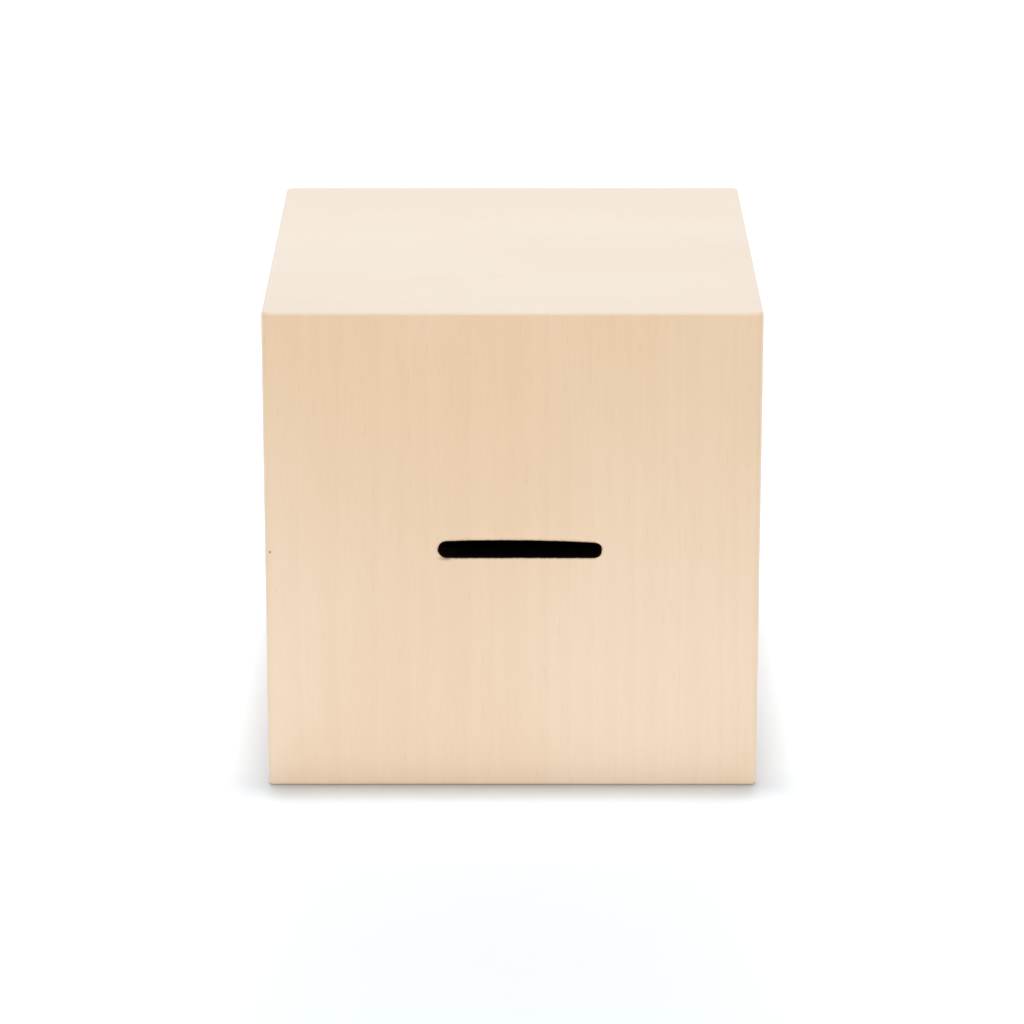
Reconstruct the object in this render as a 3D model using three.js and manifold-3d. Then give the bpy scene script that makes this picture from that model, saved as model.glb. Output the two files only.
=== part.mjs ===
// A wooden money box with a hidden drawer and a spin-to-open lock, in millimetres.
// X runs from left to right, Y from the slotted front to the back, and Z up.
// The origin is the centre of the underside.
//
// The box is six boards with mitred edges. Five of them are glued into the shell. The sixth, the
// back, is the face of a drawer that slides out backwards. Two loose steel pins under the top
// drop behind a wooden tongue on the drawer face and lock it. Spinning the box flat on a table
// throws both pins outwards and frees the drawer. The model rests with the drawer closed and the
// pins thrown out.

import * as THREE from 'three';
import { mergeVertices } from 'three/addons/utils/BufferGeometryUtils.js';
import Module from 'manifold-3d';

const wasm = await Module();
wasm.setup();

// ---------------------------------------------------------------- driving dimensions

// The box. Its upright edges are rounded more than the edges round its top and bottom.
const WIDTH = 100;
const DEPTH = 110;
const HEIGHT = 100;
const WALL = 6;
const UPRIGHT_RADIUS = 1.5;
const RIM_RADIUS = 0.6;
const EDGE_STEPS = 3;

// Gaps. A glued joint keeps a film of glue, and sliding pieces have room to move.
const GLUE_FILM = 0.05;
const FACE_CLEARANCE = 0.2;
const SIDE_CLEARANCE = 0.5;
const RUNNING_CLEARANCE = 0.1;
const CUT_THROUGH = 1;

// The coin slot, a little to the right of the middle of the front and a little above it.
const SLOT_LENGTH = 33;
const SLOT_HEIGHT = 3.5;
const SLOT_RIGHT = 1.5;
const SLOT_LEVEL = 50.7;

// The loose tongues of wood, called splines, that cross each glued mitre.
const SPLINE_MARGIN = 12;
const SPLINE_THICKNESS = 1.6;
const SPLINE_WIDTH = 5;
const SPLINE_DEPTH = 5;

// The drawer box.
const DRAWER_WOOD = 4.5;
const DRAWER_TOP = 38;
const DRAWER_END_GAP = 1;
const DRAWER_DADO = 2;
const DRAWER_TRAVEL = 75;
const FINGER_COUNT = 5;
const FLOOR_THICKNESS = 3.5;
const FLOOR_HEIGHT = 10;
const FLOOR_DADO = 1.5;
const FELT_THICKNESS = 1;
const FELT_MARGIN = 0.3;

// The strips that carry the drawer and hold it down.
const RUNNER_HEIGHT = 1.5;
const RUNNER_WIDTH = 5;
const KICKER_HEIGHT = 4.6;
const KICKER_CHAMFER = 2;
const KICKER_CLEARANCE = 0.4;
const STRIP_END_GAP = 0.5;

// The ramp that throws coins clear of the front of the drawer.
const RAMP_LENGTH = 56;
const RAMP_DEPTH = 7;
const RAMP_DROP = 5.1;
const RAMP_LIP = 3;
const RAMP_BELOW_SLOT = 0.65;

// The dowel through the underside that stops the drawer.
const PEG_DIAMETER = 4;
const PEG_FROM_BACK = 8;
const PEG_REACH = 1.2;
const PEG_PLAY = 0.5;
const PEG_GROOVE_DEPTH = 1.8;

// The lock: two blocks with a bore, a steel pin in each, and the tongue between them.
// Distances "from back" are measured from the drawer face's inner side.
const PIN_DIAMETER = 6;
const PIN_LENGTH = 24;
const PIN_CHAMFER = 0.6;
const PIN_END_GAP = 0.2;
const BORE_DIAMETER = 6.4;
const LOCK_HEIGHT = 84;
const LOCK_FROM_BACK = 14.6;
const BLOCK_DEPTH = 18;
const BLOCK_HEIGHT = 18;
const BLOCK_CHAMFER = 1.5;
const BLOCK_INNER_END = 9.5;
const HEAD_FROM_BACK = 18;
const HEAD_THICKNESS = 8;
const HEAD_HALF_WIDTH = 9;
const HEAD_CHAMFER = 1.5;
const NECK_HALF_WIDTH = 4;
const FOOT_DEPTH = 4;
const FOOT_HALF_WIDTH = 13;
const TONGUE_HEIGHT = 13;
const DOWEL_DIAMETER = 3;
const DOWEL_PLACE = 9;
const DOWEL_DEPTH = 3.5;

// Lengths that follow from them.
const INSIDE = WIDTH / 2 - WALL;
const INSIDE_BACK = DEPTH / 2 - WALL;
const INSIDE_TOP = HEIGHT - WALL;
const DRAWER_OUTSIDE = INSIDE - SIDE_CLEARANCE;
const DRAWER_INSIDE = DRAWER_OUTSIDE - DRAWER_WOOD;
const DRAWER_BASE = WALL + GLUE_FILM + RUNNER_HEIGHT + RUNNING_CLEARANCE;
const DRAWER_FRONT = -INSIDE_BACK + DRAWER_END_GAP;
const STRIP_LENGTH = 2 * (INSIDE_BACK - STRIP_END_GAP);
const PEG_PLACE = INSIDE_BACK - PEG_FROM_BACK;
const LOCK_PLACE = INSIDE_BACK - LOCK_FROM_BACK;

const QUARTER_TURN = Math.PI / 2;
const ROUND_STEPS = 40;
const MERGE_DISTANCE = 1e-5;
const HANDS = [['left', -1], ['right', 1]];

// ---------------------------------------------------------------- materials

const boardWood = new THREE.MeshStandardMaterial({ color: 0xe9ceb1, roughness: 0.62, metalness: 0 });
const innerWood = new THREE.MeshStandardMaterial({ color: 0xdcc09a, roughness: 0.7, metalness: 0 });
const hardwood = new THREE.MeshStandardMaterial({ color: 0xc89a68, roughness: 0.55, metalness: 0 });
const felt = new THREE.MeshStandardMaterial({ color: 0x34383b, roughness: 1, metalness: 0 });
const steel = new THREE.MeshStandardMaterial({ color: 0xb9bcc0, roughness: 0.3, metalness: 1 });

// ---------------------------------------------------------------- scene graph

const puzzleBox = new THREE.Group();
const shell = new THREE.Group();
const drawer = new THREE.Group();
puzzleBox.add(shell, drawer);

function piece(group, name, geometry, material) {
  const mesh = new THREE.Mesh(geometry, material);
  mesh.name = name;
  group.add(mesh);
  return mesh;
}

// ---------------------------------------------------------------- solids

// A closed geometry as a solid that can be cut and joined.
function solid(geometry) {
  const bare = geometry.clone();
  bare.deleteAttribute('normal');
  bare.deleteAttribute('uv');
  const merged = mergeVertices(bare, MERGE_DISTANCE);
  const vertProperties = new Float32Array(merged.attributes.position.array);
  const triVerts = new Uint32Array(merged.index.array);
  return new wasm.Manifold(new wasm.Mesh({ numProp: 3, vertProperties, triVerts }));
}

// A solid back as a geometry.
function geometryOf(body) {
  const mesh = body.getMesh();
  const geometry = new THREE.BufferGeometry();
  geometry.setAttribute('position', new THREE.BufferAttribute(mesh.vertProperties, 3));
  geometry.setIndex(new THREE.BufferAttribute(mesh.triVerts, 1));
  return geometry;
}

// A block between two corners, made larger on every side by `grow`.
function block(low, high, grow = 0) {
  const size = high.map((value, axis) => value - low[axis] + 2 * grow);
  const middle = high.map((value, axis) => (value + low[axis]) / 2);
  return new THREE.BoxGeometry(...size).translate(...middle);
}

// A round bar along Z between two heights.
function bar(diameter, low, high) {
  const round = new THREE.CylinderGeometry(diameter / 2, diameter / 2, high - low, ROUND_STEPS);
  return round.rotateX(QUARTER_TURN).translate(0, 0, (low + high) / 2);
}

// An outline of points drawn in X and Y and raised by `height`.
function raised(points, height) {
  const outline = new THREE.Shape(points.map(([x, y]) => new THREE.Vector2(x, y)));
  return new THREE.ExtrudeGeometry(outline, { depth: height, bevelEnabled: false });
}

// An outline of points drawn in Y and Z and pulled along X, centred on `middle`.
function pulledAlongX(points, length, middle) {
  const geometry = raised(points, length);
  return geometry.rotateX(QUARTER_TURN).rotateZ(QUARTER_TURN).translate(middle - length / 2, 0, 0);
}

// A rotation made of quarter turns about X, Y and Z.
function quarterTurns([x, y, z]) {
  const angles = new THREE.Euler(x * QUARTER_TURN, y * QUARTER_TURN, z * QUARTER_TURN);
  return new THREE.Matrix4().makeRotationFromEuler(angles);
}

// The box's size along the axes of something that is made before it is turned into place.
function sizeBefore(turn) {
  const size = new THREE.Vector3(WIDTH, DEPTH, HEIGHT).applyMatrix4(turn.clone().invert());
  return new THREE.Vector3(Math.abs(size.x), Math.abs(size.y), Math.abs(size.z));
}

// ---------------------------------------------------------------- splines

const SPLINE_TURNS = {
  front_top: [0, 0, 0],
  front_right: [0, 1, 0],
  front_bottom: [0, 2, 0],
  front_left: [0, -1, 0],
  top_right: [0, 0, 1],
  top_left: [0, 0, -1],
  bottom_right: [2, 0, 1],
  bottom_left: [2, 0, -1],
};

// A strip square across the mitre of one edge. It is made on the front top edge and turned.
function splineStrip(turns, grow = 0) {
  const turn = quarterTurns(turns);
  const size = sizeBefore(turn);
  const inwards = SPLINE_DEPTH / Math.SQRT2;
  const strip = new THREE.BoxGeometry(
    size.x - 2 * SPLINE_MARGIN + 2 * grow,
    SPLINE_THICKNESS + 2 * grow,
    SPLINE_WIDTH + 2 * grow,
  );
  strip.rotateX(-QUARTER_TURN / 2).translate(0, inwards - size.y / 2, size.z / 2 - inwards);
  return strip.applyMatrix4(turn).translate(0, 0, HEIGHT / 2);
}

for (const [edge, turns] of Object.entries(SPLINE_TURNS)) {
  piece(shell, `spline_${edge}`, splineStrip(turns), hardwood);
}

const splineGrooves = Object.values(SPLINE_TURNS)
  .map((turns) => solid(splineStrip(turns, GLUE_FILM)))
  .reduce((all, groove) => all.add(groove));

// ---------------------------------------------------------------- boards

// The outside of the whole box, with every edge rounded.
function roundedBody() {
  const outline = new THREE.Shape();
  const x = WIDTH / 2 - UPRIGHT_RADIUS;
  const y = DEPTH / 2 - UPRIGHT_RADIUS;
  const corners = [[x, y], [-x, y], [-x, -y], [x, -y]];
  corners.forEach(([cornerX, cornerY], quarter) => {
    outline.absarc(cornerX, cornerY, UPRIGHT_RADIUS, quarter * QUARTER_TURN, (quarter + 1) * QUARTER_TURN);
  });
  const body = new THREE.ExtrudeGeometry(outline, {
    depth: HEIGHT - 2 * RIM_RADIUS,
    bevelThickness: RIM_RADIUS,
    bevelSize: RIM_RADIUS,
    bevelOffset: -RIM_RADIUS,
    bevelSegments: EDGE_STEPS,
    curveSegments: 2 * EDGE_STEPS,
  });
  return solid(body.translate(0, 0, RIM_RADIUS));
}

const wholeBody = roundedBody();

// A slab with its larger face up and four sides that slope in at 45 degrees below it.
function mitredSlab(width, length, thickness) {
  const slab = new THREE.BoxGeometry(width, length, thickness);
  const corners = slab.attributes.position;
  for (let index = 0; index < corners.count; index += 1) {
    if (corners.getZ(index) < 0) {
      const x = corners.getX(index);
      const y = corners.getY(index);
      corners.setXY(index, x - Math.sign(x) * thickness, y - Math.sign(y) * thickness);
    }
  }
  return slab;
}

// A board with four mitred edges, each set back by `clearance` from the mitre's plane. The slab
// stands proud of the box by CUT_THROUGH and is trimmed to the rounded body.
function board(turns, clearance) {
  const turn = quarterTurns(turns);
  const size = sizeBefore(turn);
  const wider = 2 * (CUT_THROUGH - clearance * Math.SQRT2);
  const thickness = WALL + CUT_THROUGH;
  const slab = mitredSlab(size.x + wider, size.y + wider, thickness);
  slab.translate(0, 0, size.z / 2 + CUT_THROUGH - thickness / 2);
  return solid(slab.applyMatrix4(turn).translate(0, 0, HEIGHT / 2)).intersect(wholeBody);
}

function shellBoard(turns) {
  return board(turns, GLUE_FILM).subtract(splineGrooves);
}

// The coin slot's cutter, with fully rounded ends.
function slotCutter() {
  const radius = SLOT_HEIGHT / 2;
  const reach = SLOT_LENGTH / 2 - radius;
  const outline = new THREE.Shape();
  outline.absarc(reach, 0, radius, -QUARTER_TURN, QUARTER_TURN);
  outline.absarc(-reach, 0, radius, QUARTER_TURN, 3 * QUARTER_TURN);
  const cutter = new THREE.ExtrudeGeometry(outline, {
    depth: WALL + 2 * CUT_THROUGH,
    bevelEnabled: false,
    curveSegments: ROUND_STEPS / 4,
  });
  return cutter.rotateX(QUARTER_TURN).translate(SLOT_RIGHT, CUT_THROUGH - INSIDE_BACK, SLOT_LEVEL);
}

const pegHole = bar(PEG_DIAMETER + 2 * GLUE_FILM, -CUT_THROUGH, WALL + CUT_THROUGH);
pegHole.translate(0, PEG_PLACE, 0);

piece(shell, 'front_panel', geometryOf(shellBoard([1, 0, 0]).subtract(solid(slotCutter()))), boardWood);
piece(shell, 'left_panel', geometryOf(shellBoard([0, -1, 0])), boardWood);
piece(shell, 'right_panel', geometryOf(shellBoard([0, 1, 0])), boardWood);
piece(shell, 'top_panel', geometryOf(shellBoard([0, 0, 0])), boardWood);
piece(shell, 'bottom_panel', geometryOf(shellBoard([2, 0, 0]).subtract(solid(pegHole))), boardWood);

// The stop peg fills the hole in the bottom board and reaches into a groove under the drawer.
const stopPeg = piece(shell, 'drawer_stop_peg', bar(PEG_DIAMETER, 0, FLOOR_HEIGHT + PEG_REACH), hardwood);
stopPeg.position.y = PEG_PLACE;

// ---------------------------------------------------------------- strips inside the shell

// The strip above a drawer side, which keeps the drawer from tipping as it comes out.
function kicker(hand) {
  const glued = INSIDE - GLUE_FILM;
  const points = [
    [glued, 0],
    [glued, KICKER_HEIGHT],
    [DRAWER_INSIDE + KICKER_CHAMFER, KICKER_HEIGHT],
    [DRAWER_INSIDE, KICKER_HEIGHT - KICKER_CHAMFER],
    [DRAWER_INSIDE, 0],
  ].map(([across, up]) => [hand * across, up]);
  return raised(points, STRIP_LENGTH).rotateX(QUARTER_TURN);
}

for (const [side, hand] of HANDS) {
  const strip = new THREE.BoxGeometry(RUNNER_WIDTH, STRIP_LENGTH, RUNNER_HEIGHT);
  const runner = piece(shell, `runner_${side}`, strip, hardwood);
  runner.position.x = hand * (DRAWER_OUTSIDE - RUNNER_WIDTH / 2);
  runner.position.z = WALL + GLUE_FILM + RUNNER_HEIGHT / 2;

  const holdDown = piece(shell, `kicker_${side}`, kicker(hand), innerWood);
  holdDown.position.y = STRIP_LENGTH / 2;
  holdDown.position.z = DRAWER_TOP + KICKER_CLEARANCE;
}

// The sloping ledge glued inside the front, just under the coin slot.
function coinRamp() {
  const glued = GLUE_FILM - INSIDE_BACK;
  const high = SLOT_LEVEL - SLOT_HEIGHT / 2 - RAMP_BELOW_SLOT;
  const edge = high - RAMP_DROP;
  const points = [
    [glued, edge - RAMP_LIP],
    [glued + RAMP_DEPTH, edge - RAMP_LIP],
    [glued + RAMP_DEPTH, edge],
    [glued, high],
  ];
  return pulledAlongX(points, RAMP_LENGTH, SLOT_RIGHT);
}

piece(shell, 'coin_ramp', coinRamp(), innerWood);

// ---------------------------------------------------------------- lock in the shell

// A block glued into the corner under the top, with its lower edges chamfered, and bored
// through for its pin.
function lockBlock(hand) {
  const top = INSIDE_TOP - GLUE_FILM;
  const base = top - BLOCK_HEIGHT;
  const front = LOCK_PLACE - BLOCK_DEPTH / 2;
  const back = LOCK_PLACE + BLOCK_DEPTH / 2;
  const points = [
    [front, top],
    [front, base + BLOCK_CHAMFER],
    [front + BLOCK_CHAMFER, base],
    [back - BLOCK_CHAMFER, base],
    [back, base + BLOCK_CHAMFER],
    [back, top],
  ];
  const length = INSIDE - GLUE_FILM - BLOCK_INNER_END;
  const middle = hand * (BLOCK_INNER_END + length / 2);
  const bore = bar(BORE_DIAMETER, -length, length).rotateY(QUARTER_TURN);
  bore.translate(middle, LOCK_PLACE, LOCK_HEIGHT);
  return geometryOf(solid(pulledAlongX(points, length, middle)).subtract(solid(bore)));
}

// A steel pin with chamfered ends.
function lockPin() {
  const radius = PIN_DIAMETER / 2;
  const half = PIN_LENGTH / 2;
  const profile = [
    [0, -half],
    [radius - PIN_CHAMFER, -half],
    [radius, PIN_CHAMFER - half],
    [radius, half - PIN_CHAMFER],
    [radius - PIN_CHAMFER, half],
    [0, half],
  ];
  return new THREE.LatheGeometry(profile.map(([x, y]) => new THREE.Vector2(x, y)), ROUND_STEPS);
}

// The pins lie loose in their bores, and rest at the outer ends.
for (const [side, hand] of HANDS) {
  piece(shell, `lock_block_${side}`, lockBlock(hand), innerWood);
  const pin = piece(puzzleBox, `lock_pin_${side}`, lockPin(), steel);
  pin.rotation.z = QUARTER_TURN;
  pin.position.set(hand * (INSIDE - PIN_END_GAP - PIN_LENGTH / 2), LOCK_PLACE, LOCK_HEIGHT);
}

// ---------------------------------------------------------------- drawer

const floorTop = FLOOR_HEIGHT + FLOOR_THICKNESS;
const endBack = DRAWER_FRONT + DRAWER_WOOD;
const dadoBack = INSIDE_BACK + DRAWER_DADO;

// The drawer's floor sits in grooves in both sides, the inner end and the face.
const floorLow = [-DRAWER_INSIDE - FLOOR_DADO, endBack - FLOOR_DADO, FLOOR_HEIGHT];
const floorHigh = [DRAWER_INSIDE + FLOOR_DADO, dadoBack, floorTop];
const floorGroove = solid(block(floorLow, floorHigh, GLUE_FILM));

function sideBlock(hand, grow = 0) {
  const low = Math.min(hand * DRAWER_INSIDE, hand * DRAWER_OUTSIDE);
  return block([low, DRAWER_FRONT, DRAWER_BASE], [low + DRAWER_WOOD, dadoBack, DRAWER_TOP], grow);
}

const sideDados = solid(sideBlock(-1, GLUE_FILM)).add(solid(sideBlock(1, GLUE_FILM)));

// One finger of the corner joints, counted from below, right across the drawer.
function fingerZone(index) {
  const height = (DRAWER_TOP - DRAWER_BASE) / FINGER_COUNT;
  const low = DRAWER_BASE + index * height;
  return block(
    [-WIDTH / 2, DRAWER_FRONT - CUT_THROUGH, low],
    [WIDTH / 2, endBack, low + height],
    GLUE_FILM,
  );
}

// Every second finger from `first` up.
function fingerZones(first) {
  const zones = [];
  for (let index = first; index < FINGER_COUNT; index += 2) {
    zones.push(solid(fingerZone(index)));
  }
  return zones.reduce((all, zone) => all.add(zone));
}

// The sides keep the even fingers, and the inner end keeps the odd ones.
function drawerSide(hand) {
  return geometryOf(solid(sideBlock(hand)).subtract(fingerZones(1)).subtract(floorGroove));
}

function drawerInnerEnd() {
  const low = [-DRAWER_OUTSIDE, DRAWER_FRONT, DRAWER_BASE];
  const high = [DRAWER_OUTSIDE, endBack, DRAWER_TOP];
  const sideFingers = fingerZones(0).intersect(sideDados);
  return geometryOf(solid(block(low, high)).subtract(sideFingers).subtract(floorGroove));
}

// The floor has a groove along its underside for the stop peg. The groove's front end meets
// the peg just past the drawer's full travel.
function drawerFloor() {
  const halfWidth = PEG_DIAMETER / 2 + PEG_PLAY;
  const groove = block(
    [-halfWidth, PEG_PLACE - DRAWER_TRAVEL - halfWidth, FLOOR_HEIGHT - CUT_THROUGH],
    [halfWidth, PEG_PLACE + halfWidth, FLOOR_HEIGHT + PEG_GROOVE_DEPTH],
  );
  return geometryOf(solid(block(floorLow, floorHigh)).subtract(solid(groove)));
}

function drawerFelt() {
  const base = floorTop + GLUE_FILM;
  return block(
    [FELT_MARGIN - DRAWER_INSIDE, endBack + FELT_MARGIN, base],
    [DRAWER_INSIDE - FELT_MARGIN, INSIDE_BACK - FELT_MARGIN, base + FELT_THICKNESS],
  );
}

// The tongue is an I-shaped piece: a head that the pins catch, a neck, and a foot on the face.
function tongueBlank() {
  const headFront = INSIDE_BACK - HEAD_FROM_BACK - HEAD_THICKNESS;
  const headBack = INSIDE_BACK - HEAD_FROM_BACK;
  const footBack = INSIDE_BACK - GLUE_FILM;
  const footFront = footBack - FOOT_DEPTH;
  const half = [
    [HEAD_HALF_WIDTH - HEAD_CHAMFER, headFront],
    [HEAD_HALF_WIDTH, headFront + HEAD_CHAMFER],
    [HEAD_HALF_WIDTH, headBack],
    [NECK_HALF_WIDTH, headBack],
    [NECK_HALF_WIDTH, footFront],
    [FOOT_HALF_WIDTH, footFront],
    [FOOT_HALF_WIDTH, footBack],
  ];
  const otherHalf = half.map(([x, y]) => [-x, y]).reverse();
  return raised([...half, ...otherHalf], TONGUE_HEIGHT).translate(0, 0, LOCK_HEIGHT - TONGUE_HEIGHT / 2);
}

// A dowel through the tongue's foot into the drawer face.
function tongueDowel(hand, grow = 0) {
  const front = INSIDE_BACK - GLUE_FILM - FOOT_DEPTH;
  const back = INSIDE_BACK + DOWEL_DEPTH;
  const dowel = bar(DOWEL_DIAMETER + 2 * grow, -back - grow, -front + grow);
  return dowel.rotateX(QUARTER_TURN).translate(hand * DOWEL_PLACE, 0, LOCK_HEIGHT);
}

const dowelHoles = solid(tongueDowel(-1, GLUE_FILM)).add(solid(tongueDowel(1, GLUE_FILM)));

// The drawer's face is the back of the box, so nothing shows but a hairline along its edges.
function drawerFace() {
  const face = board([-1, 0, 0], FACE_CLEARANCE);
  return geometryOf(face.subtract(sideDados).subtract(floorGroove).subtract(dowelHoles));
}

piece(drawer, 'drawer_face', drawerFace(), boardWood);
piece(drawer, 'drawer_inner_end', drawerInnerEnd(), innerWood);
piece(drawer, 'drawer_floor', drawerFloor(), innerWood);
piece(drawer, 'drawer_felt', drawerFelt(), felt);
piece(drawer, 'lock_tongue', geometryOf(solid(tongueBlank()).subtract(dowelHoles)), hardwood);
for (const [side, hand] of HANDS) {
  piece(drawer, `drawer_side_${side}`, drawerSide(hand), innerWood);
  piece(drawer, `tongue_dowel_${side}`, tongueDowel(hand), innerWood);
}

export default puzzleBox;
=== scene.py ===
"""The looks of a wooden puzzle money box: sanded pale boards with mitred edges, a scorched coin
slot, and, inside, a felt-lined drawer and a pin lock. Lengths are in metres."""

import math

import bmesh
import bpy
from mathutils import Euler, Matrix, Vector, noise


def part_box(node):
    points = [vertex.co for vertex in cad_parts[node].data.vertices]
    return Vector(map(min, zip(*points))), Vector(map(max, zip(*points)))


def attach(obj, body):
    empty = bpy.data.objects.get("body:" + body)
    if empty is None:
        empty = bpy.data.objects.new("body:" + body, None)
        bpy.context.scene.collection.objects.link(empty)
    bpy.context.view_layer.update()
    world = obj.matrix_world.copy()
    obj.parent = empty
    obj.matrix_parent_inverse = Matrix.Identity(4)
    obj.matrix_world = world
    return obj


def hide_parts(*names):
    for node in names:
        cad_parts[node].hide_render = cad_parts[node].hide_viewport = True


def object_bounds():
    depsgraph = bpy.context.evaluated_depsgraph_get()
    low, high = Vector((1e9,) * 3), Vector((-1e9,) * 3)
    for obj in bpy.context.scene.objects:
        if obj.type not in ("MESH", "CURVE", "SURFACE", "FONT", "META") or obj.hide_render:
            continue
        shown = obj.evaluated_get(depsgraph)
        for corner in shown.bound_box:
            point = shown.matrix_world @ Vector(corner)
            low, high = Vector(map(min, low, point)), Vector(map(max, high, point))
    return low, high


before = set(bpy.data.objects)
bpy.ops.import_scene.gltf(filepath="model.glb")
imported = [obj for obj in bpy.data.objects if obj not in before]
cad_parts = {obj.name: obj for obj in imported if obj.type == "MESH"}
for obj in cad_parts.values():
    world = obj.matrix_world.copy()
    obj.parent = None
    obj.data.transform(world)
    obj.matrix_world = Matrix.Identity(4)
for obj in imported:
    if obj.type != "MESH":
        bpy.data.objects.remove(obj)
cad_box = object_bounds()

MM = 0.001
QUARTER = math.pi / 2

# ---------------------------------------------------------------- sizes from the frame

LOW, HIGH = (Vector(corner) for corner in cad_box)
HALF = (HIGH - LOW) / 2
CENTRE = (LOW + HIGH) / 2
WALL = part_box("top_panel")[1].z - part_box("top_panel")[0].z

# The rounded edges: the rim round the top is the crispest, and hand sanding leaves them all a
# little uneven.
UPRIGHT_RADIUS = 1.5 * MM
TOP_RADIUS = 0.6 * MM
BOTTOM_RADIUS = 0.7 * MM
EDGE_UNEVEN = 0.22
EDGE_WAVE = 0.045
FIRST_ROW = 0.07 * MM
ROW_GROWTH = 1.25

# How far each board stands back from the plane of its mitre.
GLUED_GAP = 0.008 * MM
DRAWER_GAP = 0.11 * MM

# The coin slot is not quite even: its upper edge bows, and is highest left of the middle.
SLOT_LENGTH = 32.9 * MM
SLOT_UP = 1.8 * MM
SLOT_DOWN = 1.74 * MM
SLOT_RISE = 0.85 * MM
SLOT_OFFSET = sum(corner.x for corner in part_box("coin_ramp")) / 2
SLOT_BOW = 1.35
SLOT_CROWN = -4 * MM
SLOT_FALL = 0.003
SLOT_WOBBLE = 0.05 * MM
SLOT_WOBBLE_SCALE = 400
SLOT_LIP = 0.14 * MM
SLOT_END = 1.75 * MM
SLOT_SQUARE_LEFT = 2.15
SLOT_SQUARE_RIGHT = 2.7
SLOT_POINTS = 144
# The lip starts this far outside the front, so that no ring of the cutter lies in its plane.
LIP_CLEAR = 0.004 * MM
LIP_STEPS = 4


# ---------------------------------------------------------------- materials

# Patterns are measured in millimetres: in this section a length without MM is one too, and a
# scale stretches a pattern by that much along each axis.


class Graph:
    """Adds nodes to one new material and joins them."""

    def __init__(self, name):
        self.material = bpy.data.materials.new(name)
        self.material.use_nodes = True
        self.tree = self.material.node_tree
        self.tree.nodes.clear()

    def put(self, socket, value):
        if isinstance(value, bpy.types.NodeSocket):
            self.tree.links.new(value, socket)
        else:
            socket.default_value = value

    def node(self, kind, inputs, **settings):
        made = self.tree.nodes.new(kind)
        for key, value in settings.items():
            setattr(made, key, value)
        for key, value in inputs.items():
            self.put(made.inputs[key], value)
        return made

    def math(self, operation, a, b=0.0, clamp=False):
        return self.node("ShaderNodeMath", {0: a, 1: b}, operation=operation, use_clamp=clamp).outputs[0]

    def vector(self, operation, a, b=(0, 0, 0)):
        made = self.node("ShaderNodeVectorMath", {0: a, 1: b}, operation=operation)
        return made.outputs["Value" if operation in ("LENGTH", "DISTANCE") else "Vector"]

    def parts(self, vector):
        return self.node("ShaderNodeSeparateXYZ", {0: vector}).outputs

    def combine(self, x, y=0.0, z=0.0):
        return self.node("ShaderNodeCombineXYZ", {0: x, 1: y, 2: z}).outputs[0]

    def stretched(self, vector, scale):
        return self.vector("MULTIPLY", vector, scale)

    def millimetres(self, vector):
        return self.stretched(vector, (1 / MM,) * 3)

    def place(self):
        """The point being shaded, in millimetres, in the piece's own frame."""
        return self.millimetres(self.node("ShaderNodeTexCoord", {}).outputs["Object"])

    def noise(self, vector, detail=2.0, roughness=0.5, output="Fac"):
        inputs = {"Vector": vector, "Scale": 1.0, "Detail": detail, "Roughness": roughness}
        return self.node("ShaderNodeTexNoise", inputs).outputs[output]

    def fade(self, value, start, end, low=0.0, high=1.0):
        """A smooth step from low at start to high at end."""
        inputs = {"Value": value, "From Min": start, "From Max": end, "To Min": low, "To Max": high}
        return self.node("ShaderNodeMapRange", inputs, interpolation_type="SMOOTHSTEP").outputs[0]

    def mix(self, factor, a, b, blend="MIX"):
        inputs = {0: factor, 6: a, 7: b}
        return self.node("ShaderNodeMix", inputs, data_type="RGBA", blend_type=blend).outputs[2]

    def bump(self, height, strength, relief):
        inputs = {"Height": height, "Strength": strength, "Distance": relief}
        return self.node("ShaderNodeBump", inputs).outputs[0]

    def finish(self, inputs):
        """The material, with one principled shader that has these inputs."""
        shader = self.node("ShaderNodeBsdfPrincipled", inputs).outputs[0]
        self.node("ShaderNodeOutputMaterial", {"Surface": shader})
        return self.material


def rgb(red, green, blue):
    """A screen colour, 0 to 255, as the linear colour that shaders use."""
    def linear(value):
        value /= 255
        return value / 12.92 if value <= 0.04045 else ((value + 0.055) / 1.055) ** 2.4
    return (linear(red), linear(green), linear(blue), 1.0)


# The turn that brings each grain direction to the material's own X.
GRAIN_TURNS = {"X": (0, 0, 0), "Y": (0, 0, -QUARTER), "Z": (0, QUARTER, 0)}

# How far each whole step of the seed moves a piece through the pattern.
SEED_SHIFT = (37.0, 11.0, 5.0)
END_GRAIN = (0.66, 0.96)
SWAY_SCALE = (0.010, 0.035, 0.035)
CLOUD_SCALE = (0.012, 0.028, 0.028)
CLOUD_FADE = (0.38, 0.66)
FLECK_FADE = 0.07
RING_RISE = (0.15, 0.86)
RING_FALL = (1.0, 0.88)
RING_UNEVEN = 3.0
RING_UNEVEN_SCALE = 0.16

# The surface of every wood. The fibres and the end grain make it rougher, and the relief stands
# up along the fibres and sinks at the rings and the flecks.
FIBRE_ROUGHNESS = 0.16
END_ROUGHNESS = 0.1
RING_RELIEF = -0.35
FLECK_RELIEF = 0.5
WOOD_RELIEF = 0.05 * MM
WOOD_IOR = 1.58
SHEEN_ROUGHNESS = 0.4
COAT_ROUGHNESS = 0.32


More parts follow.
